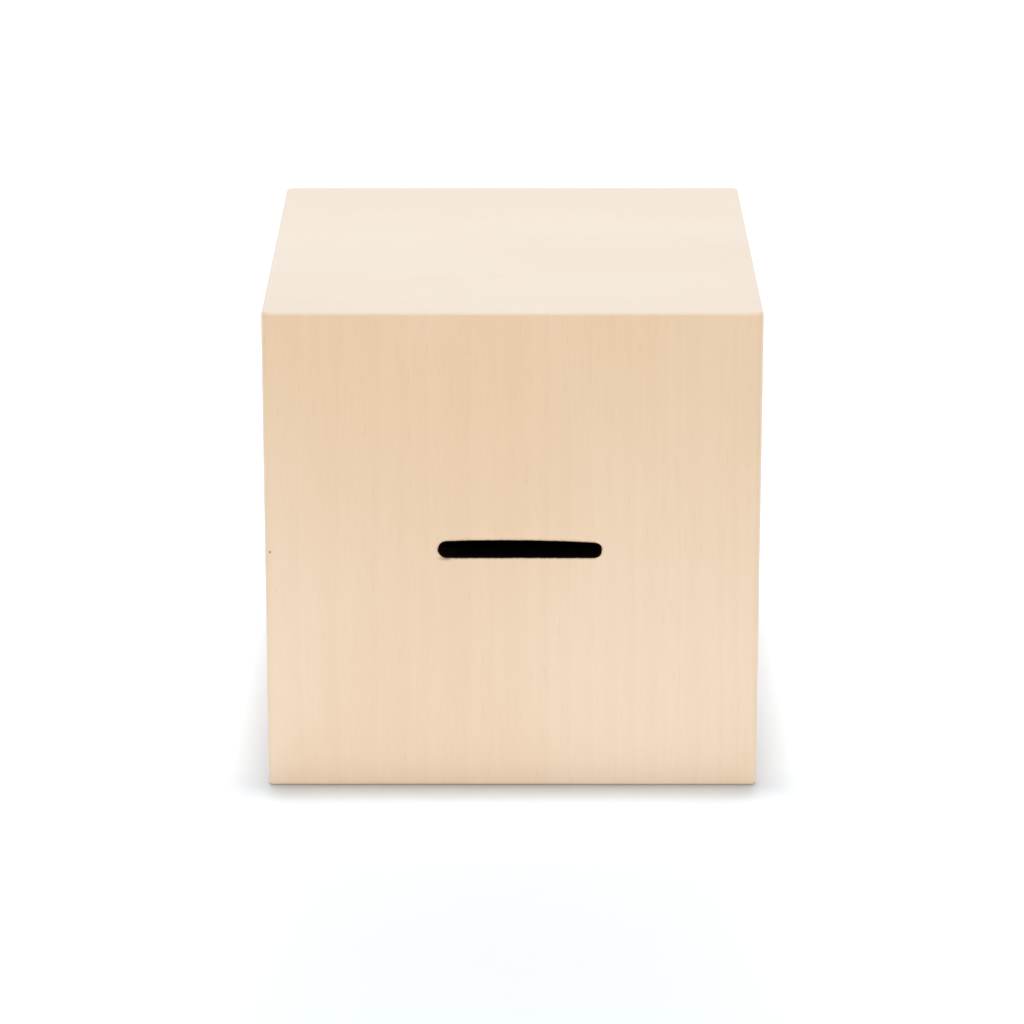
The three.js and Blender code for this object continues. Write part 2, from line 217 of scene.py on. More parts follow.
class Wood(Graph):
    """Solid wood. Its pattern is three-dimensional: fibres and growth rings run along the grain,
    and a face across the grain shows the same rings and fibres end on."""

    def __init__(self, name, grain, kind, seed, pith):
        super().__init__(name)
        self.kind = kind
        place = self.node("ShaderNodeTexCoord", {})
        turn = GRAIN_TURNS[grain]
        inputs = {"Vector": place.outputs["Object"], "Scale": (1 / MM,) * 3, "Rotation": turn}
        self.local = place.outputs["Object"]
        here = self.node("ShaderNodeMapping", inputs).outputs[0]
        here = self.vector("ADD", here, [shift * seed for shift in SEED_SHIFT])
        facing = self.node("ShaderNodeMapping", {"Vector": place.outputs["Normal"], "Rotation": turn})
        across = self.math("ABSOLUTE", self.parts(facing.outputs[0])[0])
        self.end_grain = self.fade(across, *END_GRAIN)

        slow = self.noise(self.stretched(here, SWAY_SCALE), 2.0, output="Color")
        slow = self.vector("SUBTRACT", slow, (0.5, 0.5, 0.5))
        here = self.vector("ADD", here, self.stretched(slow, (0, kind["sway"], kind["sway"])))

        self.rings = self.growth_rings(here, seed, pith)
        self.fibres = self.noise(self.stretched(here, kind["fibre_scale"]), 5.0, 0.62)
        self.streaks = self.noise(self.stretched(here, kind["streak_scale"]), 3.0, 0.55)
        dashes = self.noise(self.stretched(here, kind["fleck_scale"]), 1.0, 0.4)
        self.flecks = self.fade(dashes, kind["fleck_start"], kind["fleck_start"] + FLECK_FADE)
        self.cloud = self.noise(self.stretched(here, CLOUD_SCALE), 2.0)

    def growth_rings(self, here, seed, pith):
        """0 in the early wood of each ring, rising to 1 at its edge and falling back quickly."""
        _, out, deep = self.parts(here)
        sideways = self.math("SUBTRACT", out, pith[0] + SEED_SHIFT[1] * seed)
        depth = self.math("SUBTRACT", deep, pith[1] + SEED_SHIFT[2] * seed)
        distance = self.vector("LENGTH", self.combine(0.0, sideways, depth))
        uneven = self.noise(self.combine(self.math("MULTIPLY", distance, RING_UNEVEN_SCALE)))
        count = self.math("DIVIDE", distance, self.kind["ring"])
        count = self.math("ADD", count, self.math("MULTIPLY", uneven, RING_UNEVEN))
        step = self.math("FRACT", count)
        return self.math("MULTIPLY", self.fade(step, *RING_RISE), self.fade(step, *RING_FALL))

    def colour(self):
        kind = self.kind
        shade = self.math("MULTIPLY", self.rings, kind["ring_depth"])
        shade = self.math("ADD", shade, self.math("MULTIPLY", self.fibres, kind["fibre_depth"]))
        shade = self.math("ADD", shade, self.math("MULTIPLY", self.streaks, kind["streak_depth"]))
        usual = (kind["fibre_depth"] + kind["streak_depth"]) / 2
        shade = self.math("SUBTRACT", shade, usual - kind["middle"], True)
        colour = self.mix(shade, kind["light"], kind["dark"])
        colour = self.mix(self.fade(self.cloud, *CLOUD_FADE), colour, kind["tint"], "MULTIPLY")
        fleck = self.math("MULTIPLY", self.flecks, kind["fleck_depth"])
        colour = self.mix(fleck, colour, kind["fleck"])
        return self.mix(self.math("MULTIPLY", self.end_grain, kind["end_depth"]), colour, kind["end"])

    def surface(self, colour, burnt=None):
        """The material with this colour. Where it is burnt it is rough, and no oil seals it."""
        kind = self.kind
        rough = self.math("MULTIPLY", self.fibres, FIBRE_ROUGHNESS)
        rough = self.math("ADD", rough, kind["rough"] - FIBRE_ROUGHNESS / 2)
        rough = self.math("ADD", rough, self.math("MULTIPLY", self.end_grain, END_ROUGHNESS), True)
        coat = kind["coat"]
        if burnt is not None:
            rough = self.math("MAXIMUM", rough, burnt)
            coat = self.math("MULTIPLY", self.math("SUBTRACT", 1.0, burnt), coat)
        height = self.math("ADD", self.fibres, self.math("MULTIPLY", self.rings, RING_RELIEF))
        height = self.math("SUBTRACT", height, self.math("MULTIPLY", self.flecks, FLECK_RELIEF))
        return self.finish({
            "Base Color": colour, "Roughness": rough, "IOR": WOOD_IOR,
            "Normal": self.bump(height, kind["bump"], WOOD_RELIEF),
            "Sheen Weight": kind["sheen"], "Sheen Roughness": SHEEN_ROUGHNESS,
            "Coat Weight": coat, "Coat Roughness": COAT_ROUGHNESS,
        })


# The woods: the outer boards, a paler, greyer one of them for the top whose colour carries painted sheen,
# the plain pieces inside, and the darker pieces that hold or wear.
BOARD = {
    "light": rgb(233, 210, 183), "dark": rgb(202, 167, 130), "tint": (0.985, 0.955, 0.925, 1),
    "fleck": rgb(186, 146, 108), "end": rgb(205, 170, 128),
    "ring": 3.1, "sway": 3.2, "fibre_scale": (0.14, 3.4, 3.4), "streak_scale": (0.02, 0.45, 0.45),
    "ring_depth": 0.04, "fibre_depth": 0.24, "streak_depth": 0.09, "middle": 0.16,
    "fleck_scale": (0.22, 2.4, 2.4), "fleck_start": 0.69, "fleck_depth": 0.12,
    "end_depth": 0.45, "rough": 0.54, "bump": 0.2, "coat": 0.3, "sheen": 0.15,
}
# Painted sheen: the top board is paler and greyer than the others, standing in for the white sheen that
# light lends the top.
SHEEN_PAINTED_BOARD = {**BOARD, "light": rgb(207, 192, 174), "dark": rgb(186, 158, 130)}
INNER = {
    "light": rgb(226, 196, 156), "dark": rgb(188, 146, 102), "tint": (0.97, 0.93, 0.88, 1),
    "fleck": rgb(160, 118, 78), "end": rgb(178, 136, 94),
    "ring": 2.2, "sway": 2.6, "fibre_scale": (0.055, 3.6, 3.6), "streak_scale": (0.007, 0.55, 0.55),
    "ring_depth": 0.34, "fibre_depth": 0.42, "streak_depth": 0.4, "middle": 0.2,
    "fleck_scale": (0.3, 2.6, 2.6), "fleck_start": 0.66, "fleck_depth": 0.35,
    "end_depth": 0.6, "rough": 0.66, "bump": 0.42, "coat": 0.0, "sheen": 0.05,
}
HARD = {
    "light": rgb(206, 158, 110), "dark": rgb(160, 108, 68), "tint": (0.96, 0.9, 0.84, 1),
    "fleck": rgb(118, 74, 44), "end": rgb(140, 94, 58),
    "ring": 1.9, "sway": 1.6, "fibre_scale": (0.055, 3.6, 3.6), "streak_scale": (0.007, 0.55, 0.55),
    "ring_depth": 0.3, "fibre_depth": 0.34, "streak_depth": 0.4, "middle": 0.2,
    "fleck_scale": (0.55, 3.2, 3.2), "fleck_start": 0.62, "fleck_depth": 0.6,
    "end_depth": 0.55, "rough": 0.5, "bump": 0.35, "coat": 0.0, "sheen": 0.0,
}


def wood(name, grain, kind, seed, pith):
    made = Wood(name, grain, kind, seed, pith)
    return made.surface(made.colour())


# The pin knot is a speck beside the front's left edge, at half the box's height.
KNOT_PLACE = Vector((-48.96, 0, 50.2)) * MM
KNOT_RADIUS = 0.3
KNOT_CORE = 0.1
KNOT_SQUASH = 0.8
KNOT_DEPTH = 0.8
KNOT = rgb(96, 58, 34)

# Painted shade: the front darkens from this share of its height up to its top. It stands in for the
# floor's bounce light, which lights its lower part more.
FRONT_PAINTED_SHADE = (0.92, 0.864, 0.784, 1)
PAINTED_SHADE_START = 0.1

# The laser's marks, by how far they reach from the slot: char at its lip and a scorched line round it. A
# faint darker smudge lies below its left end.
CHAR = rgb(40, 14, 8)
CHAR_REACH = (0.24, 0.08)
SCORCH = rgb(120, 82, 56)
SCORCH_REACH = (0.62, 0.1)
SCORCH_DEPTH = 0.4
RAGGED = 0.3
RAGGED_SCALE = 1.5
SMUDGE_WIDTH = 2.2
SMUDGE_REACH = 0.75
SMUDGE_LEFT = 0.4
SMUDGE_BELOW = 0.2
SMUDGE_DEPTH = 0.55


def front_wood(name):
    """The front board: the laser that cut the slot left its walls charred, and painted shade darkens it
    towards its top.
    """
    made = Wood(name, "Z", {**BOARD, "sheen": 0.0}, 1.0, (64, 90))
    x, _, z = made.parts(made.millimetres(made.local))
    half_height = (SLOT_UP + SLOT_DOWN) / 2 / MM
    reach = SLOT_LENGTH / 2 / MM - half_height
    beyond = made.math("ABSOLUTE", made.math("SUBTRACT", x, SLOT_OFFSET / MM))
    beyond = made.math("MAXIMUM", made.math("SUBTRACT", beyond, reach), 0.0)
    above = made.math("SUBTRACT", z, (CENTRE.z + SLOT_RISE) / MM)
    from_crown = made.math("SUBTRACT", x, (SLOT_OFFSET + SLOT_CROWN) / MM)
    bow = made.math("MULTIPLY", made.math("MULTIPLY", from_crown, from_crown), SLOT_BOW * MM)
    above = made.math("ADD", above, made.math("MULTIPLY", bow, made.fade(above, 0.0, 1.0)))
    gap = made.math("SUBTRACT", made.vector("LENGTH", made.combine(beyond, above)), half_height)
    ragged = made.noise(made.stretched(made.local, (RAGGED_SCALE / MM,) * 3), 3.0)
    gap = made.math("ADD", gap, made.math("MULTIPLY", made.math("SUBTRACT", ragged, 0.5), RAGGED))
    # Painted shade: the colour darkens towards the front's top.
    up = made.fade(z, HIGH.z * PAINTED_SHADE_START / MM, HIGH.z / MM)
    colour = made.mix(up, made.colour(), FRONT_PAINTED_SHADE, "MULTIPLY")
    colour = made.mix(made.fade(gap, *SCORCH_REACH, 0.0, SCORCH_DEPTH), colour, SCORCH)
    left = made.math("SUBTRACT", x, SLOT_OFFSET / MM - reach - SMUDGE_LEFT)
    below = made.math("ADD", above, half_height + SMUDGE_BELOW)
    left = made.math("DIVIDE", left, SMUDGE_WIDTH)
    below = made.math("DIVIDE", below, SMUDGE_REACH)
    corner = made.combine(left, below)
    smudge = made.fade(made.vector("LENGTH", corner), 1.0, 0.0, 0.0, SMUDGE_DEPTH)
    colour = made.mix(smudge, colour, SCORCH)
    charred = made.fade(gap, *CHAR_REACH)
    colour = made.mix(charred, colour, CHAR)
    squashed = made.combine(x, 0.0, made.math("MULTIPLY", z, KNOT_SQUASH))
    knot_centre = (KNOT_PLACE.x / MM, 0, KNOT_PLACE.z / MM * KNOT_SQUASH)
    from_knot = made.vector("DISTANCE", squashed, knot_centre)
    colour = made.mix(made.fade(from_knot, KNOT_RADIUS, KNOT_CORE, 0.0, KNOT_DEPTH), colour, KNOT)
    return made.surface(colour, charred)


SOOT_SCALE = (1.4, 1.4, 1.4)
SOOT_TONES = (rgb(22, 7, 4), rgb(46, 20, 11))
SOOT_ROUGHNESS = (0.86, 0.98)
SOOT_GLOSS = 0.12
CRACK_SCALE = 2.2
CRACK_WIDTH = 0.12
CHAR_RELIEF = 0.08 * MM
CHAR_BUMP = 0.5


def char_material():
    """The burnt wall of the slot: soot on crackled wood, with hardly any shine left."""
    made = Graph("slot_char")
    here = made.place()
    soot = made.noise(made.stretched(here, SOOT_SCALE), 4.0, 0.6)
    inputs = {"Vector": here, "Scale": CRACK_SCALE}
    cracks = made.node("ShaderNodeTexVoronoi", inputs, feature="DISTANCE_TO_EDGE").outputs["Distance"]
    height = made.math("ADD", soot, made.fade(cracks, 0.0, CRACK_WIDTH))
    return made.finish({
        "Base Color": made.mix(made.fade(soot, 0.35, 0.7), *SOOT_TONES),
        "Roughness": made.fade(soot, 0.2, 0.8, *SOOT_ROUGHNESS),
        "Normal": made.bump(height, CHAR_BUMP, CHAR_RELIEF),
        "Specular IOR Level": SOOT_GLOSS,
    })


FELT_TONES = (rgb(38, 42, 45), rgb(66, 70, 73))
FELT_CELL_SCALE = 2.6
FELT_CELL_RELIEF = 0.6
FELT_ROUGHNESS = 0.95
FELT_SHEEN = 0.5
FELT_SHEEN_ROUGHNESS = 0.6
FELT_BUMP = 0.8
FELT_BUMP_RELIEF = 0.25 * MM
FUZZ = rgb(120, 122, 122)
FUZZ_SCALE = (5.0, 1.2, 3.0)
FUZZ_DEPTH = 0.55


def felt_material():
    """Pressed wool: matted short fibres in charcoal with a few paler ones."""
    made = Graph("felt")
    here = made.place()
    matted = made.noise(here, 6.0, 0.7)
    inputs = {"Vector": here, "Scale": FELT_CELL_SCALE}
    cells = made.node("ShaderNodeTexVoronoi", inputs, feature="F1").outputs["Distance"]
    fuzz = made.noise(made.stretched(here, FUZZ_SCALE), 3.0, 0.6)
    tone = made.mix(made.fade(matted, 0.3, 0.7), *FELT_TONES)
    height = made.math("ADD", matted, made.math("MULTIPLY", cells, FELT_CELL_RELIEF))
    return made.finish({
        "Base Color": made.mix(made.fade(fuzz, 0.64, 0.74, 0.0, FUZZ_DEPTH), tone, FUZZ),
        "Roughness": FELT_ROUGHNESS,
        "Normal": made.bump(height, FELT_BUMP, FELT_BUMP_RELIEF),
        "Sheen Weight": FELT_SHEEN, "Sheen Roughness": FELT_SHEEN_ROUGHNESS,
    })


GRIND_SCALE = (9.0, 0.25, 0.25)
GRIND_ROUGHNESS = 0.18
GRIND_BUMP = 0.3
GRIND_RELIEF = 0.02 * MM
FILM_SCALE = (0.25, 0.4, 0.4)
FILM_ROUGHNESS = 0.16
STEEL_TONES = (rgb(196, 197, 199), rgb(168, 168, 168))


def steel_material():
    """Ground steel rod along X: fine marks round the rod and a light film of handling."""
    made = Graph("steel")
    here = made.place()
    grind = made.noise(made.stretched(here, GRIND_SCALE), 3.0, 0.6)
    film = made.noise(made.stretched(here, FILM_SCALE), 3.0)
    rough = made.math("MULTIPLY", grind, GRIND_ROUGHNESS)
    rough = made.math("ADD", rough, made.math("MULTIPLY", film, FILM_ROUGHNESS))
    return made.finish({
        "Base Color": made.mix(made.fade(film, 0.35, 0.7), *STEEL_TONES),
        "Metallic": 1.0, "Roughness": rough,
        "Normal": made.bump(grind, GRIND_BUMP, GRIND_RELIEF),
    })


# ---------------------------------------------------------------- mesh helpers

SMOOTH_BELOW = math.radians(40)
SHARP_ABOVE = math.radians(30)
FLAT_BELOW = math.radians(1)
MERGE_DISTANCE = 0.001 * MM


def new_object(name, build):
    """An object whose mesh is filled by build(bm)."""
    mesh = bpy.data.meshes.new(name)
    bm = bmesh.new()
    build(bm)
    bmesh.ops.recalc_face_normals(bm, faces=bm.faces)
    bm.to_mesh(mesh)
    bm.free()
    made = bpy.data.objects.new(name, mesh)
    bpy.context.scene.collection.objects.link(made)
    return made


def smooth(piece):
    """Smooth shading that leaves the flats flat."""
    piece.data.shade_smooth()
    piece.data.set_sharp_from_angle(angle=SMOOTH_BELOW)
    weighted = piece.modifiers.new("flat_faces", "WEIGHTED_NORMAL")
    weighted.keep_sharp = True


def cut(piece, cutter):
    """Cuts one closed mesh out of another, and throws the cutter away."""
    boolean = piece.modifiers.new("cut", "BOOLEAN")
    boolean.operation = "DIFFERENCE"
    boolean.solver = "EXACT"
    boolean.object = cutter
    bpy.context.view_layer.update()
    evaluated = piece.evaluated_get(bpy.context.evaluated_depsgraph_get())
    result = bpy.data.meshes.new_from_object(evaluated)
    piece.modifiers.clear()
    old = piece.data
    piece.data = result
    result.name = piece.name
    bpy.data.meshes.remove(old)
    bpy.data.objects.remove(cutter)


def char_slot_walls(board):
    """Gives the walls of the coin slot, with their lips, the burnt finish."""
    board.data.materials.append(char_material())
    skin = SLOT_LIP / 10
    for face in board.data.polygons:
        middle = face.center
        inside = LOW.y + skin < middle.y < LOW.y + WALL - skin
        across = abs(middle.x - SLOT_OFFSET) < SLOT_LENGTH / 2 + SLOT_LIP
        level = abs(middle.z - CENTRE.z) < SLOT_LENGTH / 4
        if inside and across and level:
            face.material_index = 1


def finish_piece(piece, body, material, slot, *nodes):
    """Gives a piece its looks, the body it rides on and the nodes it stands for."""
    piece.data.materials.clear()
    piece.data.materials.append(material)
    smooth(piece)
    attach(piece, body)
    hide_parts(*nodes)


# ---------------------------------------------------------------- boards

def rounded(sharp):
    """Where a point on the outside of the sharp-edged box lies once the edges are rounded. Points
    are measured from the middle of the box."""
    uneven = 1 + EDGE_UNEVEN * noise.noise(sharp * (EDGE_WAVE / MM))
    upright = UPRIGHT_RADIUS * uneven
    rim = (TOP_RADIUS if sharp.z > 0 else BOTTOM_RADIUS) * uneven
    core = Vector([max(upright - HALF[k], min(HALF[k] - upright, sharp[k])) for k in (0, 1)])
    out = sharp.xy - core
    inwards = upright - max(abs(out.x), abs(out.y))
    down = HALF.z - abs(sharp.z)
    if inwards < rim and down < rim:
        corner = Vector((rim - inwards, rim - down)).normalized() * rim
        inwards, down = rim - corner.x, rim - corner.y
    if out.length > 0:
        core += out.normalized() * (upright - inwards)
    return Vector((*core, math.copysign(HALF.z - down, sharp.z)))


def rows_across(half, gap):
    """Places across a face that crowd towards both edges."""
    near = []
    inwards = 2 * gap
    step = FIRST_ROW
    while inwards < half - step / 2:
        near.append(half - inwards)
        inwards += step
        step *= ROW_GROWTH
    return [-place for place in near] + near[::-1]


def sides(skin):
    """The four sides of a grid of points, in turn around it."""
    first = [line[0] for line in skin]
    last = [line[-1] for line in skin]
    return skin[0], last, skin[-1][::-1], first[::-1]


def bridge(bm, ring, after, closed):
    """A strip of faces between two rows of points, joined into a band if they are closed."""
    count = len(ring)
    for k in range(count if closed else count - 1):
        j = (k + 1) % count
        bm.faces.new((ring[k], ring[j], after[j], after[k]))


def tube(bm, rings):
    """Closed rings of points, one after the other, with a cap on the first and the last."""
    for ring, after in zip(rings, rings[1:]):
        bridge(bm, ring, after, True)
    bm.faces.new(rings[0])
    bm.faces.new(rings[-1][::-1])


def plate(bm, top, bottom):
    """A closed plate between two grids of points that match."""
    skins = [[[bm.verts.new(point) for point in line] for line in skin] for skin in (top, bottom)]
    for skin in skins:
        for line, after in zip(skin, skin[1:]):
            bridge(bm, line, after, False)
    for above, below in zip(*map(sides, skins)):
        bridge(bm, above, below, False)


def board_mesh(turns, gap):
    """Builds a board whose outer face looks up and turns it into place."""
    turn = Euler([quarter * QUARTER for quarter in turns]).to_matrix()
    half = Vector([abs(size) for size in turn.inverted() @ HALF])
    inset = WALL + gap * math.sqrt(2)
    across = rows_across(half.x, gap)
    along = rows_across(half.y, gap)
    narrower = (half.x - inset) / across[-1]
    shorter = (half.y - inset) / along[-1]

    def outside(x, y):
        return CENTRE + rounded(turn @ Vector((x, y, half.z)))

    def inside(x, y):
        return CENTRE + turn @ Vector((x * narrower, y * shorter, half.z - WALL))

    def build(bm):
        outer, inner = ([[point(x, y) for y in along] for x in across] for point in (outside, inside))
        plate(bm, outer, inner)

    return build


def slot_cutter():
    """A bar through the front in the shape of the coin slot, a long oval with blunt ends, flared
    so that its lips are eased."""
    steps = SLOT_POINTS // 4
    reach = SLOT_LENGTH / 2 - SLOT_END

    def ring_points(flare):
        """Up round the right end, along the upper edge, down round the left end, and back."""
        points = []
        for end, square in ((1, SLOT_SQUARE_RIGHT), (-1, SLOT_SQUARE_LEFT)):
            for k in range(steps + 1):
                turned = QUARTER * (2 * k / steps - 1)
                up = end * math.sin(turned)
                height = (SLOT_UP if up > 0 else SLOT_DOWN) + flare
                ahead = (SLOT_END + flare) * math.cos(turned) ** (2 / square)
                points.append((end * (reach + ahead), math.copysign(height * abs(up) ** (2 / square), up)))
            level = points[-1][1]
            points += [(end * reach * (1 - 2 * k / steps), level) for k in range(1, steps)]
        return [worn(x, z) for x, z in points]

    def worn(x, z):
        drop = SLOT_BOW * (x - SLOT_CROWN) ** 2 * z / SLOT_UP if z > 0 else SLOT_FALL * x
        wobble = SLOT_WOBBLE * noise.noise(Vector((x, 3 * z, 0)) * SLOT_WOBBLE_SCALE)
        return SLOT_OFFSET + x, CENTRE.z + SLOT_RISE + z - drop + wobble

    def build(bm):
        face = LOW.y - LIP_CLEAR
        back = LOW.y + WALL
        depths = [(face - SLOT_LIP, SLOT_LIP)]
        for step in range(LIP_STEPS + 1):
            angle = step / LIP_STEPS * QUARTER
            depths.append((face + SLOT_LIP * (1 - math.cos(angle)), SLOT_LIP * (1 - math.sin(angle))))
        depths.append((back + SLOT_LIP, 0))
        tube(bm, [[bm.verts.new((x, y, z)) for x, z in ring_points(flare)] for y, flare in depths])

    return new_object("slot_cutter", build)


def node_cutter(nodes, grow):
    """The CAD shapes of some nodes as one cutter, each larger by grow on every side."""
    def build(bm):
        for node in nodes:
            low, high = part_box(node)
            middle = (low + high) / 2
            first = len(bm.verts)
            bm.from_mesh(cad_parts[node].data)
            bm.verts.ensure_lookup_table()
            factors = [1 + 2 * grow / size for size in high - low]
            for vert in bm.verts[first:]:
                vert.co = middle + Vector(f * c for f, c in zip(factors, vert.co - middle))
        bmesh.ops.remove_doubles(bm, verts=bm.verts, dist=MERGE_DISTANCE)
    return new_object("node_cutter", build)


BOARD_TURNS = {
    "front_panel": (1, 0, 0),
    "drawer_face": (-1, 0, 0),
    "bottom_panel": (2, 0, 0),
    "top_panel": (0, 0, 0),
    "right_panel": (0, 1, 0),
    "left_panel": (0, -1, 0),
}
SPLINES = sorted(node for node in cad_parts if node.startswith("spline_"))
IN_DRAWER_FACE = [
    "drawer_side_left", "drawer_side_right", "drawer_floor", "tongue_dowel_left", "tongue_dowel_right",
]
JOINERY_PLAY = 0.02 * MM
PEG_PLAY = 0.04 * MM
BOARD_WOOD = {
    "front_panel": front_wood("board_front"),
    "drawer_face": wood("board_back", "Z", BOARD, 2.0, (-40, 80)),
    "bottom_panel": wood("board_bottom", "X", BOARD, 3.0, (30, -70)),
    # The top board's wood carries painted sheen.
    "top_panel": wood("board_top", "X", SHEEN_PAINTED_BOARD, 4.0, (12, 95)),
    "right_panel": wood("board_right", "Z", BOARD, 5.0, (55, 62)),
    "left_panel": wood("board_left", "Z", BOARD, 6.0, (-60, 70)),
}

for node, turns in BOARD_TURNS.items():
    in_drawer = node == "drawer_face"
    board = new_object(node + "_board", board_mesh(turns, DRAWER_GAP if in_drawer else GLUED_GAP))
    cut(board, node_cutter(IN_DRAWER_FACE if in_drawer else SPLINES, JOINERY_PLAY))
    if node == "front_panel":
        cut(board, slot_cutter())
    if node == "bottom_panel":
        cut(board, node_cutter(["drawer_stop_peg"], PEG_PLAY))
    finish_piece(board, "drawer" if in_drawer else "shell", BOARD_WOOD[node], "board_wood", node)
    if node == "front_panel":
        char_slot_walls(board)

# ---------------------------------------------------------------- pieces with eased edges

def refined(node, body, ease, looks, grain, kind, seed, pith):
    """A node's shape with every sharp edge eased, as sandpaper leaves it."""
    def build(bm):
        bm.from_mesh(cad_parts[node].data)
        bmesh.ops.remove_doubles(bm, verts=bm.verts, dist=MERGE_DISTANCE)
        bmesh.ops.dissolve_limit(bm, angle_limit=FLAT_BELOW, verts=bm.verts, edges=bm.edges)
        sharp = [e for e in bm.edges if e.is_manifold and e.calc_face_angle() > SHARP_ABOVE]
        bmesh.ops.bevel(
            bm, geom=sharp, offset=ease, segments=2, profile=0.5, affect="EDGES", clamp_overlap=True,
        )
    material = wood(looks, grain, kind, seed, pith)
    slot = "hardwood" if kind is HARD else "inner_wood"
    finish_piece(new_object(node + "_wood", build), body, material, slot, node)


# Each piece with its body, how far its edges are eased, and its wood: the material's name, the
# grain, the kind, the seed, and where the middle of the tree lies across the grain.
EASED_PIECES = (
    ("drawer_side_left", "drawer", 0.3 * MM, "side_left", "Y", INNER, 8.0, (30, 60)),
    ("lock_block_left", "shell", 0.4 * MM, "block_left", "X", INNER, 10.0, (6, 14)),
    ("kicker_left", "shell", 0.3 * MM, "kicker_left", "Y", INNER, 12.0, (18, 20)),
    ("runner_left", "shell", 0.2 * MM, "runner_left", "Y", HARD, 14.0, (18, 20)),
    ("drawer_side_right", "drawer", 0.3 * MM, "side_right", "Y", INNER, 9.0, (30, 60)),
    ("lock_block_right", "shell", 0.4 * MM, "block_right", "X", INNER, 11.0, (6, 14)),
    ("kicker_right", "shell", 0.3 * MM, "kicker_right", "Y", INNER, 13.0, (18, 20)),
    ("runner_right", "shell", 0.2 * MM, "runner_right", "Y", HARD, 15.0, (18, 20)),
    ("drawer_inner_end", "drawer", 0.1 * MM, "inner_end", "X", INNER, 16.0, (40, 30)),
    ("drawer_floor", "drawer", 0.15 * MM, "drawer_floor", "X", INNER, 17.0, (10, 60)),
    ("coin_ramp", "shell", 0.3 * MM, "ramp", "X", INNER, 18.0, (9, 20)),
    ("lock_tongue", "drawer", 0.35 * MM, "tongue", "Y", HARD, 19.0, (14, 12)),
)
for eased_piece in EASED_PIECES:
    refined(*eased_piece)

# ---------------------------------------------------------------- turned pieces

ROD_SEGMENTS = 72
ROD_EASE = 0.2


def rod(node, body, material, slot, axis, chamfer):
    """A round rod in a node's place, with eased or chamfered ends. axis is 0, 1 or 2 for X, Y or Z."""
    low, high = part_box(node)
    middle = (low + high) / 2
    length = (high - low)[axis]
    across = [size for k, size in enumerate(high - low) if k != axis]
    radius = max(across) / 2
    profile = [(-length / 2, radius - chamfer), (-length / 2 + chamfer, radius)]
    profile += [(-along, out) for along, out in profile[::-1]]

    def build(bm):
        rings = []
        for along, out in profile:
            ring = []
            for k in range(ROD_SEGMENTS):
                angle = 2 * math.pi * k / ROD_SEGMENTS
                flat = [out * math.cos(angle), out * math.sin(angle)]
                flat.insert(axis, along)
                ring.append(bm.verts.new(middle + Vector(flat)))
            rings.append(ring)
        tube(bm, rings)
        ends = [e for e in bm.edges if e.calc_face_angle() > SHARP_ABOVE]
        bmesh.ops.bevel(bm, geom=ends, offset=chamfer * ROD_EASE, segments=2, profile=0.5, affect="EDGES")

    finish_piece(new_object(node + "_rod", build), body, material, slot, node)


steel = steel_material()
for hand, seed in (("left", 20.0), ("right", 21.0)):
    rod(f"lock_pin_{hand}", f"pin_{hand}", steel, "steel", 0, 0.6 * MM)
    dowel_wood = wood(f"dowel_{hand}", "Y", INNER, seed, (1, 3))
    rod(f"tongue_dowel_{hand}", "drawer", dowel_wood, "inner_wood", 1, 0.15 * MM)
rod("drawer_stop_peg", "shell", wood("stop_peg", "Z", HARD, 22.0, (2, 5)), "hardwood", 2, 0.2 * MM)

spline_wood = wood("spline_wood", "X", HARD, 23.0, (4, 6))
for node in SPLINES:
    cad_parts[node].material_slots[0].material = spline_wood

# ---------------------------------------------------------------- felt

FELT_CELLS = 64
FELT_RELIEF = 0.07 * MM
FELT_ROUND = 0.28 * MM
FELT_ROUND_REACH = 1.2 * MM
FELT_MAT_SCALE = 900


def felt_mesh(bm):
    """A thin mat: matted on top, soft along its cut edges, flat below."""
    low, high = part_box("drawer_felt")
    size = high - low

    def level(a, b):
        """How high the top is at (a, b), each from 0 to 1 across the mat."""
        edge = min(a * size.x, (1 - a) * size.x, b * size.y, (1 - b) * size.y)
        drop = FELT_ROUND * max(0.0, 1 - edge / FELT_ROUND_REACH) ** 2
        matted = noise.fractal(Vector((a * size.x, b * size.y, 0)) * FELT_MAT_SCALE, 0.8, 2.0, 4)
        return high.z - FELT_RELIEF - drop + FELT_RELIEF * max(-1.0, min(1.0, matted))

    shares = [k / FELT_CELLS for k in range(FELT_CELLS + 1)]
    top = [[(low.x + a * size.x, low.y + b * size.y, level(a, b)) for b in shares] for a in shares]
    bottom = [[(x, y, low.z) for x, y, z in line] for line in top]
    plate(bm, top, bottom)


felt = new_object("drawer_felt_mat", felt_mesh)
finish_piece(felt, "drawer", felt_material(), "felt", "drawer_felt")

# ---------------------------------------------------------------- studio

FLOOR_DROP = 0.03 * MM
FLOOR_RADIUS = 2.6
SWEEP_RADIUS = 1.2
SWEEP_STEPS = 24
FLOOR_SIDES = 96
FLOOR_COLOUR = (0.82, 0.865, 0.91, 1)
FLOOR_ROUGHNESS = 0.42
FLOOR_IOR = 1.35


def floor_material():
    """Cool white sheet with a faint gloss."""
    made = Graph("studio_floor")
    return made.finish({"Base Color": FLOOR_COLOUR, "Roughness": FLOOR_ROUGHNESS, "IOR": FLOOR_IOR})


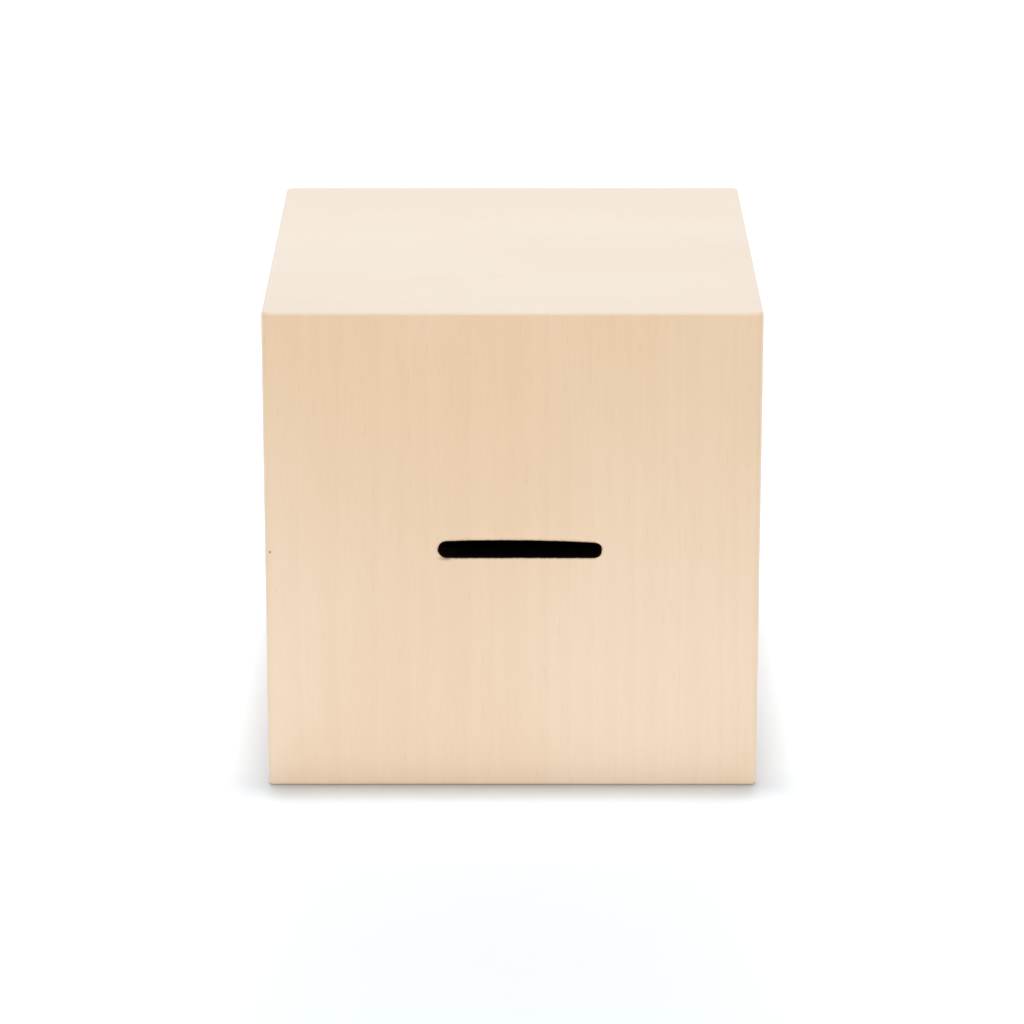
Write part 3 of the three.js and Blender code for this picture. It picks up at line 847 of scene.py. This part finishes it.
def build_floor(bm):
    """A round floor that sweeps up into a wall all round it, so that no view shows a horizon."""
    level = LOW.z - FLOOR_DROP
    rings = []
    for step in range(SWEEP_STEPS + 1):
        angle = step / SWEEP_STEPS * QUARTER
        out = FLOOR_RADIUS + SWEEP_RADIUS * math.sin(angle)
        height = level + SWEEP_RADIUS * (1 - math.cos(angle))
        turns = [2 * math.pi * k / FLOOR_SIDES for k in range(FLOOR_SIDES)]
        rings.append([bm.verts.new((out * math.cos(a), out * math.sin(a), height)) for a in turns])
    bm.faces.new(rings[0])
    for ring, after in zip(rings, rings[1:]):
        bridge(bm, ring, after, True)


floor = new_object("studio_floor", build_floor)
if floor.data.polygons[0].normal.z < 0:
    floor.data.flip_normals()
floor.data.shade_smooth()
floor.data.materials.append(floor_material())


def aim(thing, target):
    thing.rotation_euler = (Vector(target) - thing.location).to_track_quat("-Z", "Y").to_euler()


def softbox(name, place, target, width, height, power, shows_in_gloss):
    """A rectangular lamp, of this power in watts, that no view shows."""
    lamp = bpy.data.lights.new(name, "AREA")
    lamp.shape = "RECTANGLE"
    lamp.size = width
    lamp.size_y = height
    lamp.energy = power
    made = bpy.data.objects.new(name, lamp)
    made.location = place
    made.visible_camera = False
    made.visible_glossy = shows_in_gloss
    aim(made, target)
    bpy.context.scene.collection.objects.link(made)


# Each lamp's place and target, its width, height and power, and whether a gloss reflects it.
SOFTBOXES = (
    ("key", (0, 0.03, 1.6), (0, 0.03, 0), 0.24, 0.16, 17, True),
    ("front_fill", (0, -2.0, 0.3), CENTRE, 2.4, 0.5, 20, True),
    ("side_left", (-2.4, -0.2, 0.5), CENTRE, 1.9, 0.8, 17, False),
    ("side_right", (2.4, -0.2, 0.5), CENTRE, 1.9, 0.8, 17, False),
    ("backdrop", (0, 1.7, 0.75), CENTRE, 3.0, 1.3, 16.5, True),
)
WORLD_STRENGTH = 0.275

for lamp_settings in SOFTBOXES:
    softbox(*lamp_settings)

world = bpy.data.worlds.new("studio")
bpy.context.scene.world = world
world.use_nodes = True
world.node_tree.nodes["Background"].inputs["Color"].default_value = (1, 1, 1, 1)
world.node_tree.nodes["Background"].inputs["Strength"].default_value = WORLD_STRENGTH
bpy.context.scene.view_settings.view_transform = "Standard"

# The camera looks down at the front, from a little above the box.
CAMERA_PITCH = math.radians(17.24)
CAMERA_DISTANCE = 956 * MM
CAMERA_TARGET = Vector((-0.09 * MM, 0, CENTRE.z - 8.37 * MM))
CAMERA_LENS = 156.93
CAMERA_CLIP_END = 20

camera_data = bpy.data.cameras.new("camera")
camera_data.lens = CAMERA_LENS
camera_data.clip_end = CAMERA_CLIP_END
camera = bpy.data.objects.new("camera", camera_data)
back_off = Vector((0, -math.cos(CAMERA_PITCH), math.sin(CAMERA_PITCH)))
camera.location = CAMERA_TARGET + back_off * CAMERA_DISTANCE
aim(camera, CAMERA_TARGET)
bpy.context.scene.collection.objects.link(camera)
bpy.context.scene.camera = camera
